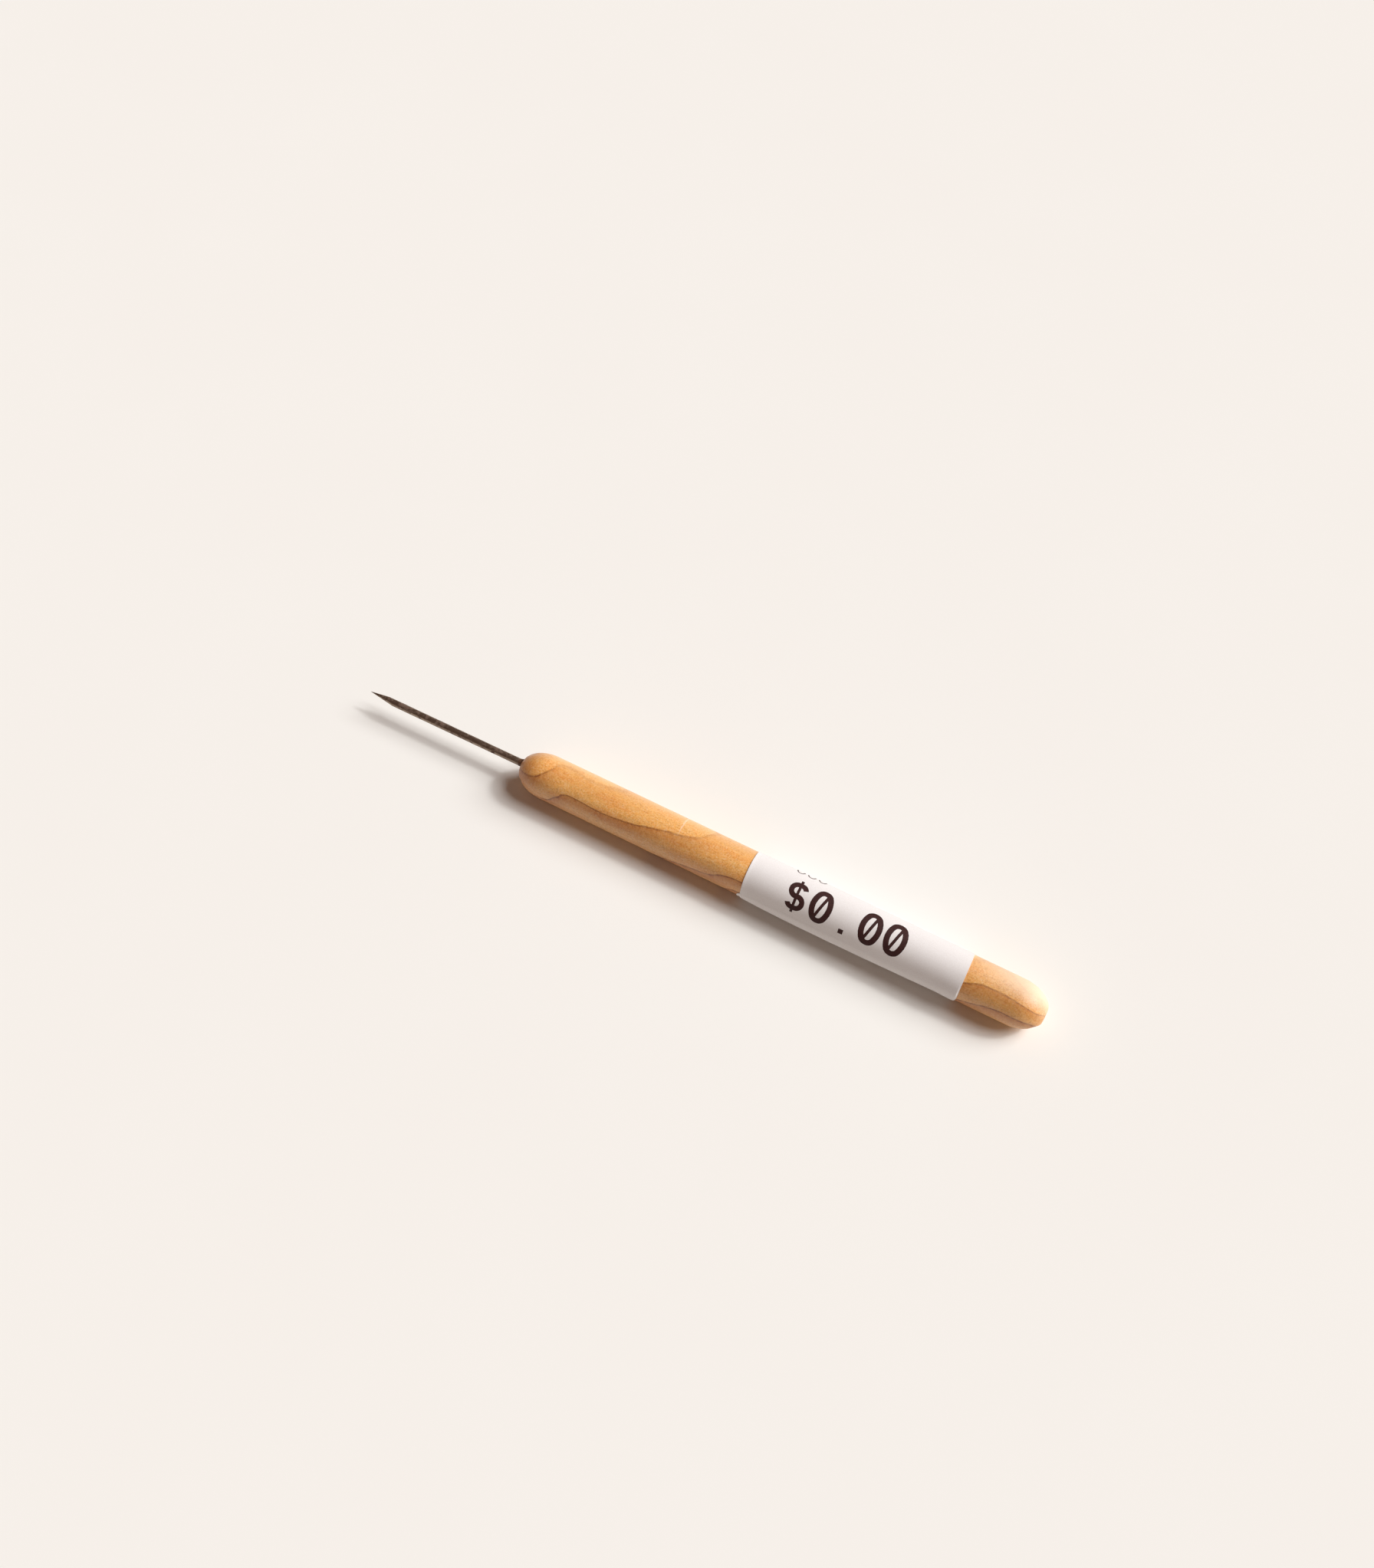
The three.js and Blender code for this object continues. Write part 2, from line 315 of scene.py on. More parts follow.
    color = linearColor(look["honey"])
    layers = (
        (tone, 0.4, 0.68, 0.55, "amber"),       # (pattern, from, to, strength, colour)
        (tone, 0.5, 0.36, 0.2, "lateWood"),
        (fleck, 0.52, 0.75, 0.4, "pale"),
        (fleck, 0.48, 0.32, 0.4, "lateWood"),
        (mottle, 0.48, 0.68, 0.6, "amber"),
        (mottle, 0.46, 0.34, 0.45, "lateWood"),
        (curl, 0.5, 0.64, 0.7, "pale"),
        (curl, 0.48, 0.36, 0.45, "lateWood"),
        (pore, 0.6, 0.7, 0.25, "pore"),
        (sideways, 0.5, 4.6, 0.65, "pale"),     # painted highlight: the +Y side, towards the light, is paler; in mm
        (sideways, -2.4, -4.8, 0.3, "paintedShade"),  # painted shade: the -Y side, away from the light, is greyer and darker
    )
    for pattern, low, high, strength, name in layers:
        amount = addNode(tree, "ShaderNodeMapRange", {"Value": pattern, "From Min": low, "From Max": high,
                         "To Max": strength}).outputs[0]
        color = addNode(tree, "ShaderNodeMix", {0: amount, 6: color, 7: linearColor(look[name])},
                        data_type="RGBA").outputs[2]

    # The rings come and go along the dowel. They also fade towards the lit +Y side and are strongest on the
    # shaded -Y side: painted light and shade.
    ringsFadeInLight = addNode(tree, "ShaderNodeMapRange", {"Value": sideways, "From Min": 1.0, "From Max": -3.0,
                        "To Min": 0.25}).outputs[0]
    shows = addNode(tree, "ShaderNodeMapRange", {"Value": mottle, "From Min": 0.36, "From Max": 0.6,
                    "To Min": 0.4, "To Max": 1.0}).outputs[0]
    shows = addNode(tree, "ShaderNodeMath", {0: shows, 1: ringsFadeInLight}, operation="MULTIPLY").outputs[0]
    for channel, name in ((1, "lateWood"), (0, "ring")):
        amount = addNode(tree, "ShaderNodeMath", {0: rings.outputs[channel], 1: shows},
                         operation="MULTIPLY").outputs[0]
        color = addNode(tree, "ShaderNodeMix", {0: amount, 6: color, 7: linearColor(look[name])},
                        data_type="RGBA").outputs[2]

    # The nose end is browner, in patches. The butt's top, on the lit +Y side, is painted paler as a glare,
    # and its lacquer is thinner and rougher there.
    patchy = addNode(tree, "ShaderNodeMapRange", {"Value": mottle, "From Min": 0.25, "From Max": 0.65,
                     "To Min": 0.6}).outputs[0]
    top = addNode(tree, "ShaderNodeMapRange", {"Value": sideways, "From Min": -3.0, "From Max": 2.6},
                  interpolation_type="SMOOTHSTEP").outputs[0]
    ends = (
        (-33, -41, 0.6, patchy, "lateWood"),    # (from, to in mm along the dowel, strength, cover, colour)
        # the butt's lit top: painted glare, in the colour of bare wood
        (60, 80, 0.85, top, "bare"),
    )
    for low, high, strength, cover, name in ends:
        end = addNode(tree, "ShaderNodeMapRange", {"Value": along, "From Min": low, "From Max": high,
                      "To Max": strength}, interpolation_type="SMOOTHSTEP").outputs[0]
        amount = addNode(tree, "ShaderNodeMath", {0: end, 1: cover}, operation="MULTIPLY").outputs[0]
        color = addNode(tree, "ShaderNodeMix", {0: amount, 6: color, 7: linearColor(look[name])},
                        data_type="RGBA").outputs[2]
    worn = amount   # how far the butt's lacquer has gone, which is also how much painted glare its lit top has

    # A knife scratch across the grain, through the lacquer to pale wood.
    fromScratch = addNode(tree, "ShaderNodeVectorMath", {0: place, 1: look["scratchSlant"]},
                          operation="DOT_PRODUCT").outputs["Value"]
    fromScratch = addNode(tree, "ShaderNodeMath", {0: curl, 1: look["scratchWaver"], 2: fromScratch},
                          operation="MULTIPLY_ADD").outputs[0]
    scratchMiddle = look["scratchAt"] + look["scratchWaver"] / 2
    fromScratch = addNode(tree, "ShaderNodeMath", {0: fromScratch, 1: scratchMiddle},
                          operation="SUBTRACT").outputs[0]
    fromScratch = addNode(tree, "ShaderNodeMath", {0: fromScratch}, operation="ABSOLUTE").outputs[0]
    onScratch = addNode(tree, "ShaderNodeMapRange",
                        {"Value": fromScratch, "From Min": look["scratchEdge"],
                         "From Max": look["scratchCore"], "To Max": look["scratchDepth"]},
                        interpolation_type="SMOOTHSTEP").outputs[0]
    fadeFrom, fadeTo = look["scratchFades"]
    scratchEnd = addNode(tree, "ShaderNodeMapRange",
                         {"Value": sideways, "From Min": fadeFrom, "From Max": fadeTo}).outputs[0]
    scratched = addNode(tree, "ShaderNodeMath", {0: onScratch, 1: scratchEnd},
                        operation="MULTIPLY").outputs[0]
    color = addNode(tree, "ShaderNodeMix", {0: scratched, 6: color, 7: linearColor(look["bare"])},
                    data_type="RGBA").outputs[2]
    tree.links.new(color, shader.inputs["Base Color"])

    smoothest, roughest = look["roughness"]
    shine = addNode(tree, "ShaderNodeMapRange", {"Value": mottle, "From Min": 0.3, "From Max": 0.7,
                    "To Min": smoothest, "To Max": roughest}).outputs[0]
    shine = addNode(tree, "ShaderNodeMath", {0: worn, 1: look["wornRoughness"], 2: shine},
                    operation="MULTIPLY_ADD").outputs[0]
    tree.links.new(shine, shader.inputs["Roughness"])
    lacquer = addNode(tree, "ShaderNodeMapRange", {"Value": worn, "To Min": look["lacquer"],
                      "To Max": look["wornLacquer"]}).outputs[0]
    tree.links.new(lacquer, shader.inputs["Coat Weight"])
    relief = addNode(tree, "ShaderNodeMath", {0: pore, 1: fleck}, operation="ADD").outputs[0]
    bump = addNode(tree, "ShaderNodeBump",
                   {"Height": relief, "Strength": 0.35, "Distance": look["grainDepth"]}, invert=True)
    tree.links.new(bump.outputs[0], shader.inputs["Normal"])
    shader.inputs["IOR"].default_value = 1.5
    shader.inputs["Coat Roughness"].default_value = look["lacquerRoughness"]
    return material


# Handle: a dowel with both ends sanded round by hand.
handleShape = {
    "radius": (handleHigh.y - handleLow.y) / 2 + 0.006 * mm,   # a little over the frame's facets
    "flat": 1.5 * mm,          # radius of the small flat left on each end
    "rounding": 6.45 * mm,     # how far each end's rounding reaches
    "fullness": 0.6,           # 0.5 is a quarter of an ellipse, and more is more pointed
    "sides": 160,
    "endRings": 36,
    "crowding": 1.8,           # the rings stand closer together towards each end
    "straightRings": 40,
    "hole": 1.1 * mm,
    "holeDepth": 28.6 * mm,
    "mouthChamfer": 0.05 * mm,
    "waviness": 0.035 * mm,    # hand sanding leaves the ends a little uneven
    "waveLength": 2.6 * mm,
    "wavyTo": 4 * mm,          # from each end
    "evenFrom": 12 * mm,
    # Flats from the sanding block: angle round and tilt from +X in degrees, and mm taken off.
    "buttFlats": ((112, 47, 0.16), (75, 62, 0.07), (25, 40, 0.1), (-40, 55, 0.14), (-110, 44, 0.12),
                  (170, 52, 0.15)),
    "noseFlats": ((95, 128, 0.1), (30, 140, 0.08), (-35, 126, 0.12), (-120, 137, 0.1), (170, 125, 0.12)),
}


def endRadius(distance):
    shape = handleShape
    left = 1 - min(distance / shape["rounding"], 1)
    return shape["flat"] + (shape["radius"] - shape["flat"]) * (1 - left * left) ** shape["fullness"]


def spikeLine():  # the spike's axis: its y at the nose and its slope
    radius = (spikeHigh.z - spikeLow.z) / 2
    taperEnd = spikeLow.x + spikeShape["pointLength"]
    slope = ((spikeHigh.y - radius) - (spikeLow.y + radius)) / (spikeHigh.x - taperEnd)
    return spikeHigh.y - radius - slope * (spikeHigh.x - noseX), slope


def makeHandle(material):
    shape = handleShape
    rings, straight = shape["endRings"], shape["straightRings"]
    reaches = [shape["rounding"] * (i / rings) ** shape["crowding"] for i in range(rings + 1)]
    points = [(noseX + d, endRadius(d)) for d in reaches]
    start, end = noseX + shape["rounding"], buttX - shape["rounding"]
    points += [(start + (end - start) * i / straight, shape["radius"]) for i in range(1, straight)]
    points += [(buttX - d, endRadius(d)) for d in reversed(reaches)]
    points += [(buttX, shape["flat"] * part) for part in (0.66, 0.33, 0)]
    bm = bmesh.new()
    spinProfile(bm, points, shape["sides"])

    # The hole for the tang, from the nose's flat inwards.
    holeY, slope = spikeLine()
    rim = openRing(bm, noseX)
    mouth = shape["hole"] + shape["mouthChamfer"]
    narrow = Matrix.Diagonal((1, mouth / shape["flat"], mouth / shape["flat"], 1))
    rim = pullRing(bm, rim, Matrix.Translation((0, holeY, 0)) @ narrow)
    inner = shape["hole"] / mouth
    narrow = Matrix.Diagonal((1, inner, inner, 1)) @ Matrix.Translation((0, -holeY, 0))
    rim = pullRing(bm, rim, Matrix.Translation((shape["mouthChamfer"], holeY, 0)) @ narrow)
    steps = 8
    for step in range(steps):
        depth = shape["holeDepth"] / steps
        rim = pullRing(bm, rim, Matrix.Translation((depth, depth * slope, 0)))
    bmesh.ops.contextual_create(bm, geom=rim)

    pastHole = noseX + shape["holeDepth"] * 1.1
    outside = [v for v in bm.verts if offAxis(v.co) > shape["flat"] * 0.99 or v.co.x > pastHole]
    for around, tilt, depth in shape["buttFlats"] + shape["noseFlats"]:
        facing = Vector((cos(radians(tilt)), 0, 0)) + outward(radians(around)) * sin(radians(tilt))
        reach = max(v.co.dot(facing) for v in outside) - depth * mm
        for v in outside:
            over = v.co.dot(facing) - reach
            if over > 0:
                v.co -= facing * over
    for v in outside:
        fromEnd = min(v.co.x - noseX, buttX - v.co.x)
        uneven = 1.2 - easeInOut(fromEnd, shape["wavyTo"], shape["evenFrom"])   # 0.2 along the grip
        dip = max(0.3 - noise.noise(v.co / shape["waveLength"]), 0)
        inwards = Vector((0, -v.co.y, -v.co.z)).normalized()
        v.co += inwards * dip * shape["waviness"] * uneven
    bmesh.ops.translate(bm, vec=(0, 0, axisZ), verts=bm.verts)
    bmesh.ops.recalc_face_normals(bm, faces=bm.faces)
    handle = finishPiece(bm, "maple_handle", material, 40)
    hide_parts("handle")


# Steel: drawn wire, ground to a point and gone dark. The eye gets a dull grey-brown metal with
# lengthwise draw marks, rust in patches, and a few bright nicks.
steelLook = {
    "dark": "#8A7668", "worn": "#A89888", "rust": "#5E4033", "nick": "#D0C4B6",
    "roughness": 0.38,
    "rustRoughness": 0.75,
    # Patterns, in marks per mm. Draw marks are about 0.02 mm apart and pits 0.1 mm, and both are drawn
    # several times as coarse so that they show.
    "marks": 2.0,
    "markShape": (0.25, 4, 4),    # long along the wire: 2 mm, and 0.12 mm across
    "pits": 2.6,
    "rustPatches": 0.8,
}


def darkenedSteel():
    look = steelLook
    material, tree, shader = newMaterial("darkenedSteel")
    place = millimetres(tree, (0, 0, axisZ))
    drawn = addNode(tree, "ShaderNodeMapping", {"Vector": place, "Scale": look["markShape"]}).outputs[0]
    marks = addNode(tree, "ShaderNodeTexNoise",
                    {"Vector": drawn, "Scale": look["marks"], "Detail": 4.0, "Roughness": 0.6}).outputs[0]
    patches = addNode(tree, "ShaderNodeTexNoise", {"Vector": place, "Scale": look["rustPatches"],
                      "Detail": 5.0, "Roughness": 0.65}).outputs[0]
    pits = addNode(tree, "ShaderNodeTexNoise",
                   {"Vector": place, "Scale": look["pits"], "Detail": 3.0}).outputs[0]
    marksRange = addNode(tree, "ShaderNodeMapRange",
                         {"Value": marks, "From Min": 0.35, "From Max": 0.7}).outputs[0]
    color = addNode(tree, "ShaderNodeMix", {0: marksRange, 6: linearColor(look["dark"]),
                    7: linearColor(look["worn"])}, data_type="RGBA").outputs[2]
    nicks = addNode(tree, "ShaderNodeMapRange",
                    {"Value": pits, "From Min": 0.62, "From Max": 0.74, "To Max": 0.8}).outputs[0]
    color = addNode(tree, "ShaderNodeMix", {0: nicks, 6: color, 7: linearColor(look["nick"])},
                    data_type="RGBA").outputs[2]
    rusted = addNode(tree, "ShaderNodeMapRange",
                     {"Value": patches, "From Min": 0.52, "From Max": 0.66}).outputs[0]
    color = addNode(tree, "ShaderNodeMix", {0: rusted, 6: color, 7: linearColor(look["rust"])},
                    data_type="RGBA").outputs[2]
    tree.links.new(color, shader.inputs["Base Color"])
    bare = addNode(tree, "ShaderNodeMath", {0: 1.0, 1: rusted}, operation="SUBTRACT").outputs[0]
    tree.links.new(bare, shader.inputs["Metallic"])
    rough = addNode(tree, "ShaderNodeMapRange", {"Value": rusted, "To Min": look["roughness"],
                    "To Max": look["rustRoughness"]}).outputs[0]
    tree.links.new(rough, shader.inputs["Roughness"])
    relief = addNode(tree, "ShaderNodeMath", {0: marks, 1: pits}, operation="ADD").outputs[0]
    bump = addNode(tree, "ShaderNodeBump", {"Height": relief, "Strength": 0.5, "Distance": 0.04 * mm})
    tree.links.new(bump.outputs[0], shader.inputs["Normal"])
    return material


# Spike: a round wire, whose point is ground as a cone a little to one side of its axis.
spikeShape = {
    "sides": 64,
    "pointLength": 5.6 * mm,
    "pointRings": 30,
    "tipRadius": 0.03 * mm,
    "overrun": 1.3,            # the cone is this much longer and wider, and the wire cuts it off
    "grindOffset": 0.11 * mm,
    "grindToward": radians(-66),
    "shankRings": 50,
    "trim": 0.99,              # leaves room in the wire's radius for its unevenness
    "unevenness": 0.02 * mm,
    "lumpLength": 1.1 * mm,
    "tangChamfer": 0.25 * mm,
}


def makeSpike(material):
    shape = spikeShape
    radius = (spikeHigh.z - spikeLow.z) / 2
    coneLength, coneRadius = shape["pointLength"] * shape["overrun"], radius * shape["overrun"]
    rings, tip = shape["pointRings"], shape["tipRadius"]
    points = [(spikeLow.x, 0)]
    points += [(spikeLow.x + coneLength * i / rings, tip + (coneRadius - tip) * i / rings)
               for i in range(rings + 1)]
    rings, chamfer = shape["shankRings"], shape["tangChamfer"]
    start, end = spikeLow.x + coneLength, spikeHigh.x - chamfer
    points += [(start + (end - start) * i / rings, radius) for i in range(1, rings + 1)]
    points += [(spikeHigh.x, radius - chamfer), (spikeHigh.x, 0)]
    bm = bmesh.new()
    spinProfile(bm, points, shape["sides"])

    holeY, slope = spikeLine()
    for v in bm.verts:
        if v.co.x <= start + 0.01 * mm:
            v.co += outward(shape["grindToward"]) * shape["grindOffset"]
        out = offAxis(v.co)
        limit = radius * shape["trim"] + shape["unevenness"] * noise.noise(v.co / shape["lumpLength"])
        if out > limit:
            v.co.y *= limit / out
            v.co.z *= limit / out
        v.co.y += holeY + slope * (v.co.x - noseX)
        v.co.z += axisZ
    bmesh.ops.recalc_face_normals(bm, faces=bm.faces)
    spike = finishPiece(bm, "steel_spike", material, 30)
    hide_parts("spike")


# Glue: epoxy that squeezed out on one side when the tang went in, and picked up steel dust. The eye gets
# a brown, slightly glossy lump.
glueShape = {
    "bore": 0.83 * mm,
    "sleeve": 1.07 * mm,
    "beadLength": 1.15 * mm,
    "beadSteps": 8,
    "beadSwell": 0.21 * mm,    # how much thicker it gets towards the nose
    "swellPower": 1.6,
    "lean": 0.03 * mm,         # how far it squeezed out to +Y at its tip
    "swellLean": 0.19 * mm,    # and how much further at the nose
    "noseGap": 0.03 * mm,
    "skin": 0.006 * mm,        # its thinnest
    "lumps": 0.035,
    "lumpLength": 0.5 * mm,
    "sides": 64,
}
glueLook = {
    "brown": "#7A5840", "dust": "#553D2E",
    "specks": 3.0,             # per mm, several times as coarse as steel dust so that they show
    "roughness": 0.3,
}


def setEpoxy():
    material, tree, shader = newMaterial("setEpoxy")
    place = millimetres(tree, (0, 0, axisZ))
    dust = addNode(tree, "ShaderNodeTexNoise",
                   {"Vector": place, "Scale": glueLook["specks"], "Detail": 4.0}).outputs[0]
    dustRange = addNode(tree, "ShaderNodeMapRange",
                        {"Value": dust, "From Min": 0.4, "From Max": 0.65}).outputs[0]
    color = addNode(tree, "ShaderNodeMix", {0: dustRange, 6: linearColor(glueLook["brown"]),
                    7: linearColor(glueLook["dust"])}, data_type="RGBA").outputs[2]
    tree.links.new(color, shader.inputs["Base Color"])
    bump = addNode(tree, "ShaderNodeBump", {"Height": dust, "Strength": 0.4, "Distance": 0.04 * mm})
    tree.links.new(bump.outputs[0], shader.inputs["Normal"])
    shader.inputs["Roughness"].default_value = glueLook["roughness"]
    shader.inputs["IOR"].default_value = 1.55
    return material


def makeGlue(material):
    shape = glueShape
    bore, length = shape["bore"], shape["beadLength"]
    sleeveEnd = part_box("tang_glue")[1].x - noseX
    bm = bmesh.new()
    made = bmesh.ops.create_circle(bm, radius=1, segments=shape["sides"])["verts"]
    bmesh.ops.transform(bm, matrix=Matrix.Rotation(pi / 2, 4, "Y"), verts=made)
    ring = list(bm.edges)
    # Outside of the bead as (x from the nose, radius, offset to +Y), then the sleeve in the hole, then
    # back up its bore.
    stations = []
    for i in range(shape["beadSteps"] + 1):
        along = i / shape["beadSteps"]
        swell = along ** shape["swellPower"]
        stations.append((-length + (length - shape["noseGap"]) * along,
                         bore + shape["beadSwell"] * swell,
                         shape["lean"] + shape["swellLean"] * swell))
    stations += [(-shape["noseGap"] / 2, shape["sleeve"], 0), (sleeveEnd, shape["sleeve"], 0)]
    stations += [(sleeveEnd, bore, 0), (0, bore, 0), (-length, bore, 0)]
    x, radius, offset = stations[0]
    place = Matrix.Translation((x, offset, 0)) @ Matrix.Diagonal((1, radius, radius, 1))
    bmesh.ops.transform(bm, matrix=place, verts=bm.verts)
    first = ring
    for nextX, nextRadius, nextOffset in stations[1:]:
        grow = Matrix.Diagonal((1, nextRadius / radius, nextRadius / radius, 1))
        move = Matrix.Translation((nextX, nextOffset, 0)) @ grow @ Matrix.Translation((-x, -offset, 0))
        ring = pullRing(bm, ring, move)
        x, radius, offset = nextX, nextRadius, nextOffset
    bmesh.ops.bridge_loops(bm, edges=first + ring)

    holeY, slope = spikeLine()
    onBore = 0.001 * mm
    for v in bm.verts:
        out = offAxis(v.co)
        wanted = out
        if out > bore + onBore and v.co.x < 0:   # the bead is lumpy, and stays outside its own bore
            lumpy = 1 + shape["lumps"] * noise.noise(v.co / shape["lumpLength"])
            wanted = max(out * lumpy, bore + shape["skin"])
        elif out < bore - onBore:
            wanted = bore + shape["skin"]
        v.co.y *= wanted / out
        v.co.z *= wanted / out
        v.co += Vector((noseX, holeY + slope * v.co.x, axisZ))
    bmesh.ops.recalc_face_normals(bm, faces=bm.faces)
    glue = finishPiece(bm, "epoxy_bead", material, 40)
    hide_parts("tang_glue")


# Price label: coated paper, wrapped a little askew, with its outer end lapped and lifting.
labelShape = {
    "length": 48.5 * mm,
    "wrap": radians(391),
    "outerEdge": radians(108.8),
    "rollRadius": handleShape["radius"] + 0.1 * mm,   # its flat width is wrapped at this radius
    "thickness": 0.08 * mm,
    "gap": 0.03 * mm,          # glue, under the paper
    "corner": 1.3 * mm,
    "skew": radians(1.5),
    "lift": 0.37 * mm,
    "liftFrom": radians(50),
    "liftPeak": 0.6,           # under 1 moves the highest place towards -X
    "lapRamp": radians(6),     # how far the paper takes to climb over its inner end
    "flare": 0.16 * mm,        # the +X end stands off the wood, and its last bit is pressed down again
    "flareReach": 5 * mm,
    "flareFrom": radians(75),  # from the outer edge, where it starts
    "flareFull": radians(35),  # and where it is full
    "endRoll": 0.35 * mm,
    "startCurl": 0.06 * mm,    # the -X end curls up
    "startReach": 0.8 * mm,
    "ripple": 0.012 * mm,      # where the paper doesn't quite hug the wood
    "rippleLength": 7 * mm,
    "ripples": 1.6,            # per radian
    "pressed": radians(30),    # from the bottom: the awl's weight presses the paper flat
    "free": radians(75),
}


def labelHeight(x, fromOuter, angle):  # from the wood up to the paper's underside, at x on the flat sheet
    shape = labelShape
    layer = shape["gap"] + shape["thickness"]
    lapped = shape["wrap"] - 2 * pi
    along = min(max(x / shape["length"] + 0.5, 0), 1)
    lap = easeInOut(-fromOuter, -lapped - shape["lapRamp"], -lapped)
    lift = easeInOut(-fromOuter, -shape["liftFrom"], 0)
    height = layer * lap + shape["lift"] * lift * sin(pi * along ** shape["liftPeak"])
    toEnd = shape["length"] / 2 - x
    toStart = shape["length"] / 2 + x
    standsOff = easeInOut(-fromOuter, -shape["flareFrom"], -shape["flareFull"])
    height += shape["flare"] * standsOff * easeInOut(-toEnd, -shape["flareReach"], -shape["endRoll"])
    height *= 1 - standsOff * easeInOut(-toEnd, -shape["endRoll"], 0)
    loose = easeInOut(abs(angle + pi), shape["pressed"], shape["free"])
    height += shape["startCurl"] * loose * easeInOut(-toStart, -shape["startReach"], 0)
    ripple = 1 + noise.noise(Vector((x / shape["rippleLength"], angle * shape["ripples"], 0)))
    return shape["gap"] + height + shape["ripple"] * ripple * loose


def wrapLabel(bm, above=0):  # bends flat geometry, centred on the sheet, round the handle
    shape = labelShape
    middle = (labelLow.x + labelHigh.x) / 2
    middleAngle = shape["outerEdge"] - shape["wrap"] / 2
    for v in bm.verts:
        x = middle + v.co.x * cos(shape["skew"]) - v.co.y * sin(shape["skew"])
        y = v.co.y * cos(shape["skew"]) + v.co.x * sin(shape["skew"])
        angle = middleAngle - y / shape["rollRadius"]
        fromOuter = v.co.y / shape["rollRadius"] + shape["wrap"] / 2
        radius = handleShape["radius"] + labelHeight(v.co.x, fromOuter, angle) + v.co.z + above
        v.co = (x, -radius * sin(angle), axisZ + radius * cos(angle))


def cutStrips(bm, low, high, spacing, normal):  # so that a flat face can bend
    count = int((high - low) / spacing)
    for i in range(1, count):
        place = Vector(normal) * (low + (high - low) * i / count)
        bmesh.ops.bisect_plane(bm, geom=bm.verts[:] + bm.edges[:] + bm.faces[:], plane_co=place,
                               plane_no=normal, dist=0.001 * mm)


def raiseSheet(bm, thickness):  # flat faces to a closed slab
    top = bmesh.ops.extrude_face_region(bm, geom=bm.faces[:])["geom"]
    verts = [g for g in top if isinstance(g, bmesh.types.BMVert)]
    bmesh.ops.translate(bm, vec=(0, 0, thickness), verts=verts)
    bmesh.ops.recalc_face_normals(bm, faces=bm.faces)


# Thermal paper: clay-coated, so the eye gets an even, cool white that is matt, with a faint tone from the
# fibres under the coating.
paperLook = {
    "white": "#F0EDEC", "fibre": "#E6E1DE",
    "fibres": 5.0,             # per mm. Real ones are 0.03 mm across, and too fine to show
    "roughness": 0.6,
}


def thermalPaper():
    material, tree, shader = newMaterial("thermalPaper")
    place = millimetres(tree, (0, 0, axisZ))
    fibre = addNode(tree, "ShaderNodeTexNoise",
                    {"Vector": place, "Scale": paperLook["fibres"], "Detail": 4.0,
                     "Roughness": 0.7}).outputs[0]
    fibreRange = addNode(tree, "ShaderNodeMapRange",
                         {"Value": fibre, "From Min": 0.4, "From Max": 0.75}).outputs[0]
    color = addNode(tree, "ShaderNodeMix", {0: fibreRange, 6: linearColor(paperLook["white"]),
                    7: linearColor(paperLook["fibre"])}, data_type="RGBA").outputs[2]
    tree.links.new(color, shader.inputs["Base Color"])
    bump = addNode(tree, "ShaderNodeBump", {"Height": fibre, "Strength": 0.25, "Distance": 0.02 * mm})
    tree.links.new(bump.outputs[0], shader.inputs["Normal"])
    shader.inputs["Roughness"].default_value = paperLook["roughness"]
    return material


def makeLabel(material):
    shape = labelShape
    length, width = shape["length"], shape["wrap"] * shape["rollRadius"]
    bm = bmesh.new()
    bmesh.ops.create_grid(bm, x_segments=1, y_segments=1, size=0.5,
                          matrix=Matrix.Diagonal((length, width, 1, 1)))
    bmesh.ops.bevel(bm, geom=bm.verts[:], offset=shape["corner"], segments=8, profile=0.5,
                    affect="VERTICES", material=-1)
    cutStrips(bm, -length / 2, length / 2, 1.2 * mm, (1, 0, 0))   # and finer where the ends curl
    cutStrips(bm, -length / 2, shape["startReach"] - length / 2, 0.15 * mm, (1, 0, 0))
    cutStrips(bm, length / 2 - shape["endRoll"] * 1.3, length / 2, 0.06 * mm, (1, 0, 0))
    cutStrips(bm, -width / 2, width / 2, 0.2 * mm, (0, 1, 0))
    raiseSheet(bm, shape["thickness"])
    wrapLabel(bm)
    label = finishPiece(bm, "paper_label", material, 50)
    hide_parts("price_label")


# Print: placeholder figures in the plain style of a label printer.
printShape = {
    "height": 7.25 * mm, "width": 4.75 * mm, "pitch": 5.43 * mm, "pen": 1.18 * mm,
    "dollarWidth": 4.2 * mm, "dollarPen": 0.92,   # times the pen
    "slashPen": 0.62 * mm,
    "dot": 1.05 * mm,
    "start": 11.5 * mm,        # the first figure's middle, from the label's -X end
    "baseline": 4.15 * mm,     # above the label's outer edge
    "tilt": radians(0.6),
    "smallHeight": 2.9 * mm, "smallWidth": 1.95 * mm, "smallPitch": 2.45 * mm, "smallPen": 0.28 * mm,
    "smallStart": 10.0 * mm, "smallBaseline": 13.6 * mm,
    "film": 0.006 * mm,
    "gap": 0.003 * mm,         # from the paper, so that the two don't share a face
    "crossing": 0.002 * mm,    # a stroke that crosses another lies this much higher
    "ragged": 0.03 * mm,       # the print head's dots leave the edges a little rough
    "dotSize": 0.3 * mm,
}
printLook = {
    "hot": "#331614", "cool": "#452321",
    "dots": 4.0,               # per mm: a print head has 8, drawn twice as coarse so that they show
    "roughness": 0.6,
    "specular": 0.3,
}


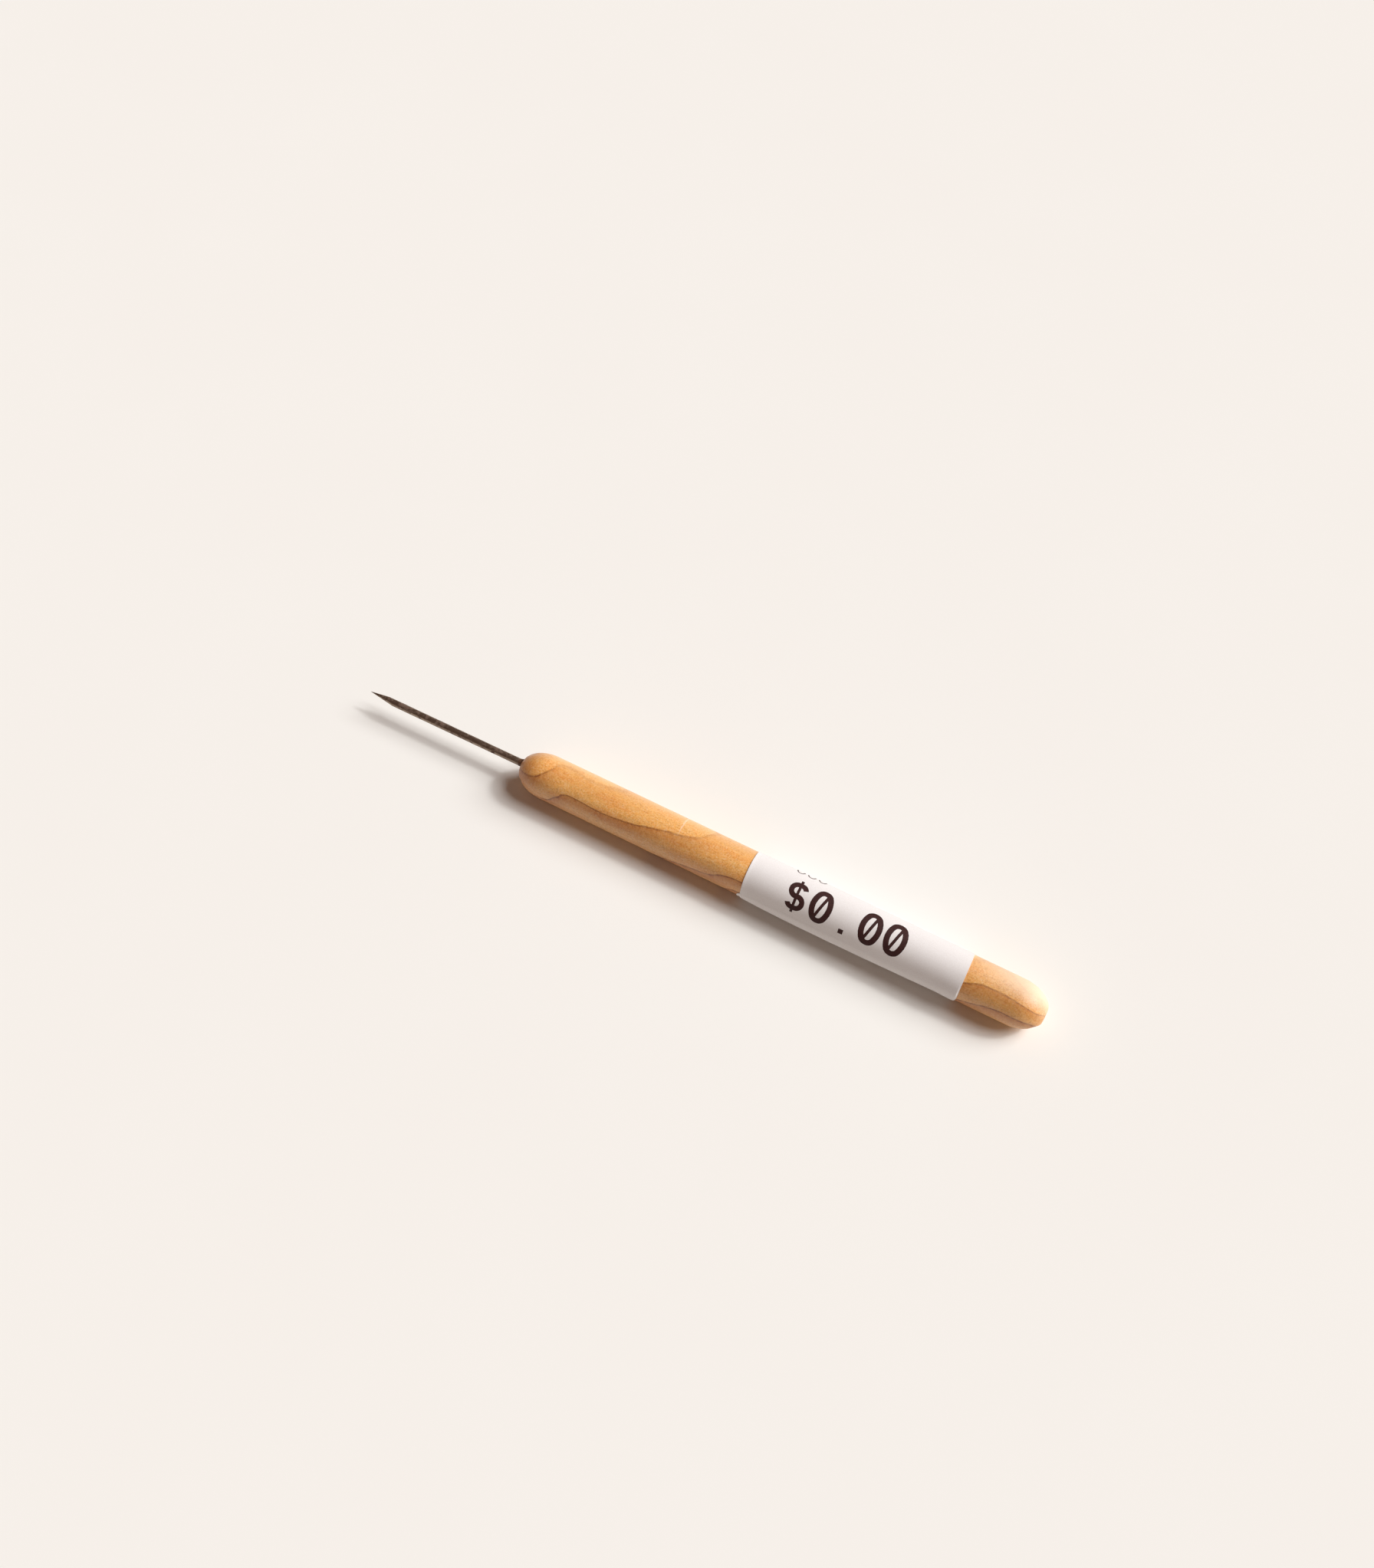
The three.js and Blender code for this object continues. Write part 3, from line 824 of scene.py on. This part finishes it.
# A flat band, as from a broad pen. Its moves are ("line", length) or ("arc", radius, turn).
def penStroke(bm, start, heading, pen, moves, raised=0):
    at = Vector((start[0], start[1], raised))
    side = Vector((-sin(heading), cos(heading), 0)) * pen / 2
    tip = bm.edges.new((bm.verts.new(at + side), bm.verts.new(at - side)))
    for move in moves:
        at = (tip.verts[0].co + tip.verts[1].co) / 2
        if move[0] == "line":
            made = bmesh.ops.extrude_edge_only(bm, edges=[tip])["geom"]
            tip = [g for g in made if isinstance(g, bmesh.types.BMEdge) and
                   all(v in made for v in g.verts)][0]
            step = Vector((cos(heading), sin(heading), 0)) * move[1]
            bmesh.ops.translate(bm, vec=step, verts=list(tip.verts))
        else:
            radius, turn = move[1], move[2]
            leftOrRight = 1 if turn > 0 else -1
            centre = at + Vector((-sin(heading), cos(heading), 0)) * radius * leftOrRight
            made = bmesh.ops.spin(bm, geom=list(tip.verts) + [tip], cent=centre, axis=(0, 0, 1),
                                  angle=turn, steps=max(int(abs(turn) / radians(8)), 4))["geom_last"]
            tip = [g for g in made if isinstance(g, bmesh.types.BMEdge)][0]
            heading += turn


def drawZero(bm, middle, base, height, width, pen, slashPen=0):  # an oval of four arcs
    capShare = 0.76   # of the half width: the radius of the top and bottom arcs
    slashShare, slant = 0.86, radians(73)
    halfWidth, halfHeight = (width - pen) / 2, (height - pen) / 2
    capRadius = halfWidth * capShare
    rise, inset = halfHeight - capRadius, halfWidth - capRadius
    back = (rise ** 2 - inset ** 2) / (2 * inset)
    sideRadius, sideTurn = halfWidth + back, atan2(rise, back)
    cap = ("arc", capRadius, -(pi - 2 * sideTurn))
    half, side = ("arc", sideRadius, -sideTurn), ("arc", sideRadius, -2 * sideTurn)
    penStroke(bm, (middle - halfWidth, base + height / 2), pi / 2, pen, [half, cap, side, cap, half])
    if slashPen:
        length = height * slashShare
        penStroke(bm, (middle - cos(slant) * length / 2, base + height / 2 - sin(slant) * length / 2),
                  slant, slashPen, [("line", length)], printShape["crossing"])


def drawDollar(bm, middle, base, height, width, pen):
    tall, below = 0.83, 0.085               # shares of the height: the S, and the bar's reach under it
    hookShare, hookTurn = 0.9, radians(74)   # the S's two open ends
    barPen, barSlant, barShift = 0.54, radians(89), 0.1 * mm
    bowl = (height * tall - pen) / 4
    flank = (width - pen) / 2 - bowl
    hook = bowl * hookShare
    low = base + height * below + pen / 2
    moves = [("arc", hook, hookTurn), ("line", 2 * flank), ("arc", bowl, pi), ("line", 2 * flank),
             ("arc", bowl, -pi), ("line", 2 * flank), ("arc", hook, -hookTurn)]
    start = (middle - flank - sin(hookTurn) * hook, low + (1 - cos(hookTurn)) * hook)
    penStroke(bm, start, -hookTurn, pen, moves)
    penStroke(bm, (middle - barShift, base), barSlant, pen * barPen, [("line", height)],
              printShape["crossing"])


# Thermal print: the coating itself goes brown-black. The eye gets a dull, warm black, a little paler where
# the dots were cooler.
def thermalPrint():
    material, tree, shader = newMaterial("thermalPrint")
    place = millimetres(tree, (0, 0, axisZ))
    dots = addNode(tree, "ShaderNodeTexNoise",
                   {"Vector": place, "Scale": printLook["dots"], "Detail": 3.0}).outputs[0]
    dotsRange = addNode(tree, "ShaderNodeMapRange",
                        {"Value": dots, "From Min": 0.4, "From Max": 0.7}).outputs[0]
    color = addNode(tree, "ShaderNodeMix", {0: dotsRange, 6: linearColor(printLook["hot"]),
                    7: linearColor(printLook["cool"])}, data_type="RGBA").outputs[2]
    tree.links.new(color, shader.inputs["Base Color"])
    shader.inputs["Roughness"].default_value = printLook["roughness"]
    shader.inputs["Specular IOR Level"].default_value = printLook["specular"]
    return material


def makePrint(material):
    shape = printShape
    length, width = labelShape["length"], labelShape["wrap"] * labelShape["rollRadius"]
    bm = bmesh.new()
    firstX, base = shape["start"], shape["baseline"]
    drawDollar(bm, firstX, base, shape["height"], shape["dollarWidth"], shape["pen"] * shape["dollarPen"])
    for place in (1, 3, 4):
        drawZero(bm, firstX + place * shape["pitch"], base, shape["height"], shape["width"], shape["pen"],
                 shape["slashPen"])
    dot = shape["dot"]
    penStroke(bm, (firstX + 2 * shape["pitch"] - dot / 2, base + dot / 2), 0, dot, [("line", dot)])
    for place in range(3):
        drawZero(bm, shape["smallStart"] + place * shape["smallPitch"], shape["smallBaseline"],
                 shape["smallHeight"], shape["smallWidth"], shape["smallPen"])
    bmesh.ops.remove_doubles(bm, verts=bm.verts, dist=0.005 * mm)
    turn = Matrix.Rotation(shape["tilt"], 4, "Z")
    toSheet = Matrix.Translation((-length / 2, -width / 2, 0))
    bmesh.ops.transform(bm, matrix=toSheet @ turn, verts=bm.verts)
    lows = [min(v.co[i] for v in bm.verts) for i in (0, 1)]
    highs = [max(v.co[i] for v in bm.verts) for i in (0, 1)]
    cutStrips(bm, lows[0], highs[0], 0.35 * mm, (1, 0, 0))
    cutStrips(bm, lows[1], highs[1], 0.2 * mm, (0, 1, 0))
    for v in bm.verts:
        rough = noise.noise_vector(v.co / shape["dotSize"]) * shape["ragged"]
        v.co.x += rough.x
        v.co.y += rough.y
    raiseSheet(bm, shape["film"])
    wrapLabel(bm, labelShape["thickness"] + shape["gap"])
    ink = finishPiece(bm, "label_print", material, 50)


# Floor: plain matt card, whose white is a very little uneven.
floorLook = {
    "white": "#F5F4F0", "paler": "#F6F6F2",
    "clouds": 0.02,            # per mm, so 50 mm across
    "size": 3,                 # metres from the middle to each edge
}


def makeFloor():
    look = floorLook
    material, tree, shader = newMaterial("mattCard")
    place = millimetres(tree, (0, 0, 0))
    clouds = addNode(tree, "ShaderNodeTexNoise",
                     {"Vector": place, "Scale": look["clouds"], "Detail": 2.0}).outputs[0]
    color = addNode(tree, "ShaderNodeMix", {0: clouds, 6: linearColor(look["white"]),
                    7: linearColor(look["paler"])}, data_type="RGBA").outputs[2]
    tree.links.new(color, shader.inputs["Base Color"])
    shader.inputs["Roughness"].default_value = 1.0
    shader.inputs["Specular IOR Level"].default_value = 0.0
    bm = bmesh.new()
    bmesh.ops.create_grid(bm, x_segments=1, y_segments=1, size=look["size"])
    mesh = bpy.data.meshes.new("floor")
    bm.to_mesh(mesh)
    bm.free()
    mesh.materials.append(material)
    floor = bpy.data.objects.new("floor", mesh)
    bpy.context.scene.collection.objects.link(floor)
    print("made floor")


makeCamera()
makeLights()
makeFloor()
makeHandle(lacqueredMaple())
makeSpike(darkenedSteel())
makeGlue(setEpoxy())
makeLabel(thermalPaper())
makePrint(thermalPrint())
